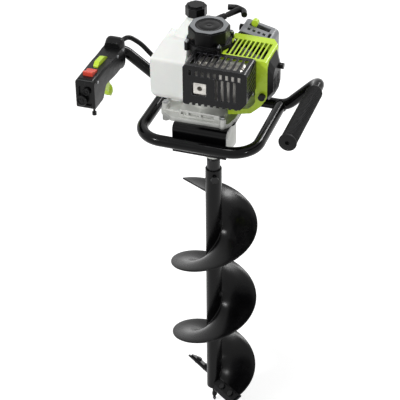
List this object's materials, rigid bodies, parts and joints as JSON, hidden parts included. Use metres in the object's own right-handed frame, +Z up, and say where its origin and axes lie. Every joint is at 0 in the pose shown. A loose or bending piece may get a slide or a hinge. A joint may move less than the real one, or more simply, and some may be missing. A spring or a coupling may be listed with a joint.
{
  "type": "powered earth and ice auger",
  "caption": "Hand-held petrol auger: helical drill bit, gearbox in a tube frame, finned engine with guard and shroud, fuel tank, throttle grip and plain grip.",
  "frame": {"origin": "tip of the pilot point, on the axis that the bit spins about", "axes": "+Z up the spin axis to the engine, +X towards the plain grip, -Y towards the muffler"},
  "size_m": [0.5115, 0.3035, 1.053],
  "materials": {
    "black_tube": "gloss black enamel on steel tube",
    "steel_bright": "zinc plated and turned steel",
    "cast_aluminium": "pale die-cast aluminium, fine grain",
    "rubber_black": "matte moulded rubber",
    "heat_black": "satin black heat paint on pressed steel",
    "muffler_steel": "dull heat-coloured sheet steel",
    "lime_plastic": "lime green moulded plastic",
    "black_plastic": "black moulded plastic, fine spark texture",
    "grey_plastic": "mid grey moulded plastic",
    "filter_foam": "open cell filter foam",
    "tank_plastic": "milky translucent polyethylene",
    "hose_rubber": "black hose and cable sleeve",
    "primer_rubber": "soft clear-amber rubber",
    "rope_fibre": "braided cord",
    "red_plastic": "red moulded plastic",
    "auger_steel": "dark grey powder coat on steel",
    "blade_steel": "dark hardened steel with ground edge"
  },
  "bodies": {
    "frame": {"carburettor": "cast_aluminium", "casing_screws": "steel_bright", "clutch_housing": "cast_aluminium", "control_handle_inner": "black_plastic", "control_handle_outer": "black_plastic", "cover_knobs": "black_plastic", "crankcase": "cast_aluminium", "cylinder": "cast_aluminium", "cylinder_shroud": "lime_plastic", "fan_housing": "black_plastic", "filter_base": "black_plastic", "filter_cover": "grey_plastic", "filter_element": "filter_foam", "frame_loop": "black_tube", "fuel_hose": "hose_rubber", "fuel_tank": "tank_plastic", "gearbox_cover": "cast_aluminium", "gearbox_housing": "cast_aluminium", "handle_bar": "black_tube", "housing_bolts": "steel_bright", "lay_bearings": "steel_bright", "mount_plate": "black_tube", "muffler": "muffler_steel", "muffler_guard": "heat_black", "output_bearings": "steel_bright", "output_seal": "rubber_black", "plug_cap": "rubber_black", "right_grip": "rubber_black", "shaft_bearings": "steel_bright", "shroud_end_cover": "black_plastic", "spark_plug": "steel_bright", "starter_housing": "black_plastic", "throttle_cable": "hose_rubber"},
    "bit": {"output_gear": "steel_bright", "output_shaft": "steel_bright", "coupling_pin": "steel_bright", "auger_stem": "auger_steel", "auger_flight": "auger_steel", "cutter_wings": "auger_steel", "cutting_blades": "blade_steel", "blade_bolts": "steel_bright", "pilot_point": "auger_steel"},
    "lay_shaft": {"lay_gear": "steel_bright"},
    "drum": {"clutch_drum": "steel_bright"},
    "crank": {"crankshaft": "steel_bright", "flywheel": "cast_aluminium", "clutch_shoes": "cast_aluminium"},
    "piston_and_rod": {"piston": "cast_aluminium", "connecting_rod": "steel_bright"},
    "pull_grip": {"starter_handle": "black_plastic", "starter_rope": "rope_fibre"},
    "reel": {"starter_reel": "black_plastic"},
    "cap_seal": {"cap_gasket": "rubber_black"},
    "cap": {"fuel_cap": "black_plastic"},
    "primer": {"primer_bulb": "primer_rubber"},
    "choke": {"choke_lever": "lime_plastic"},
    "trigger": {"throttle_trigger": "lime_plastic"},
    "lockout": {"lockout_lever": "lime_plastic"},
    "stop_rocker": {"stop_switch": "red_plastic"},
    "lock_pin": {"throttle_lock_pin": "black_plastic"}
  },
  "joints": [
    {"name": "auger_spin", "type": "hinge", "parent": "frame", "child": "bit", "pos_m": [0, 0, 0.75], "axis": [0, 0, 1], "continuous": true},
    {"name": "lay_spin", "type": "hinge", "parent": "frame", "child": "lay_shaft", "pos_m": [-0.04244, 0.0245, 0.8], "axis": [0, 0, 1], "continuous": true},
    {"name": "drum_spin", "type": "hinge", "parent": "frame", "child": "drum", "pos_m": [-0.00996, 0.00575, 0.85], "axis": [0, 0, 1], "continuous": true},
    {"name": "crank_spin", "type": "hinge", "parent": "frame", "child": "crank", "pos_m": [-0.00996, 0.00575, 0.94], "axis": [0, 0, 1], "continuous": true},
    {"name": "piston_slide", "type": "slide", "parent": "frame", "child": "piston_and_rod", "axis": [1, 0, 0], "range_m": [-0.034, 0]},
    {"name": "starter_pull", "type": "slide", "parent": "frame", "child": "pull_grip", "axis": [0.4695, 0.8829, 0], "range_m": [0, 0.6], "stiffness_N_per_m": 15, "springref_m": -0.3},
    {"name": "reel_spin", "type": "hinge", "parent": "frame", "child": "reel", "pos_m": [-0.00996, 0.00575, 1.03], "axis": [0, 0, 1], "range_deg": [-1725, 0]},
    {"name": "cap_rise", "type": "slide", "parent": "frame", "child": "cap_seal", "axis": [0, 0, 1], "range_m": [0, 0.0062]},
    {"name": "cap_turn", "type": "hinge", "parent": "cap_seal", "child": "cap", "pos_m": [-0.061, 0.07, 1.03], "axis": [0, 0, 1], "range_deg": [0, 540]},
    {"name": "primer_press", "type": "slide", "parent": "frame", "child": "primer", "axis": [1, 0, 0], "range_m": [0, 0.005], "stiffness_N_per_m": 400, "springref_m": -0.003},
    {"name": "choke_turn", "type": "hinge", "parent": "frame", "child": "choke", "pos_m": [0.056, 0.119, 0.972], "axis": [0, 1, 0], "range_deg": [0, 45]},
    {"name": "trigger_pull", "type": "hinge", "parent": "frame", "child": "trigger", "pos_m": [-0.262, -0.034, 0.866], "axis": [1, 0, 0], "range_deg": [0, 12], "stiffness_Nm_per_rad": 0.4, "springref_deg": -17.19},
    {"name": "lockout_press", "type": "hinge", "parent": "frame", "child": "lockout", "pos_m": [-0.262, 0.03, 0.908], "axis": [1, 0, 0], "range_deg": [0, 6], "stiffness_Nm_per_rad": 0.5, "springref_deg": -11.46},
    {"name": "switch_rock", "type": "hinge", "parent": "frame", "child": "stop_rocker", "pos_m": [-0.262, -0.052, 0.914], "axis": [1, 0, 0], "range_deg": [0, 16]},
    {"name": "lock_pin_press", "type": "slide", "parent": "frame", "child": "lock_pin", "axis": [0, 0, 1], "range_m": [0, 0.006], "stiffness_N_per_m": 250, "springref_m": -0.003}
  ],
  "couplings": [
    {"joint": "lay_spin", "follows": "auger_spin", "ratio": -5.2222},
    {"joint": "drum_spin", "follows": "auger_spin", "ratio": 29.593},
    {"joint": "reel_spin", "follows": "starter_pull", "rad_per_m": -50},
    {"joint": "cap_rise", "follows": "cap_turn", "m_per_rad": 0.00063662}
  ]
}
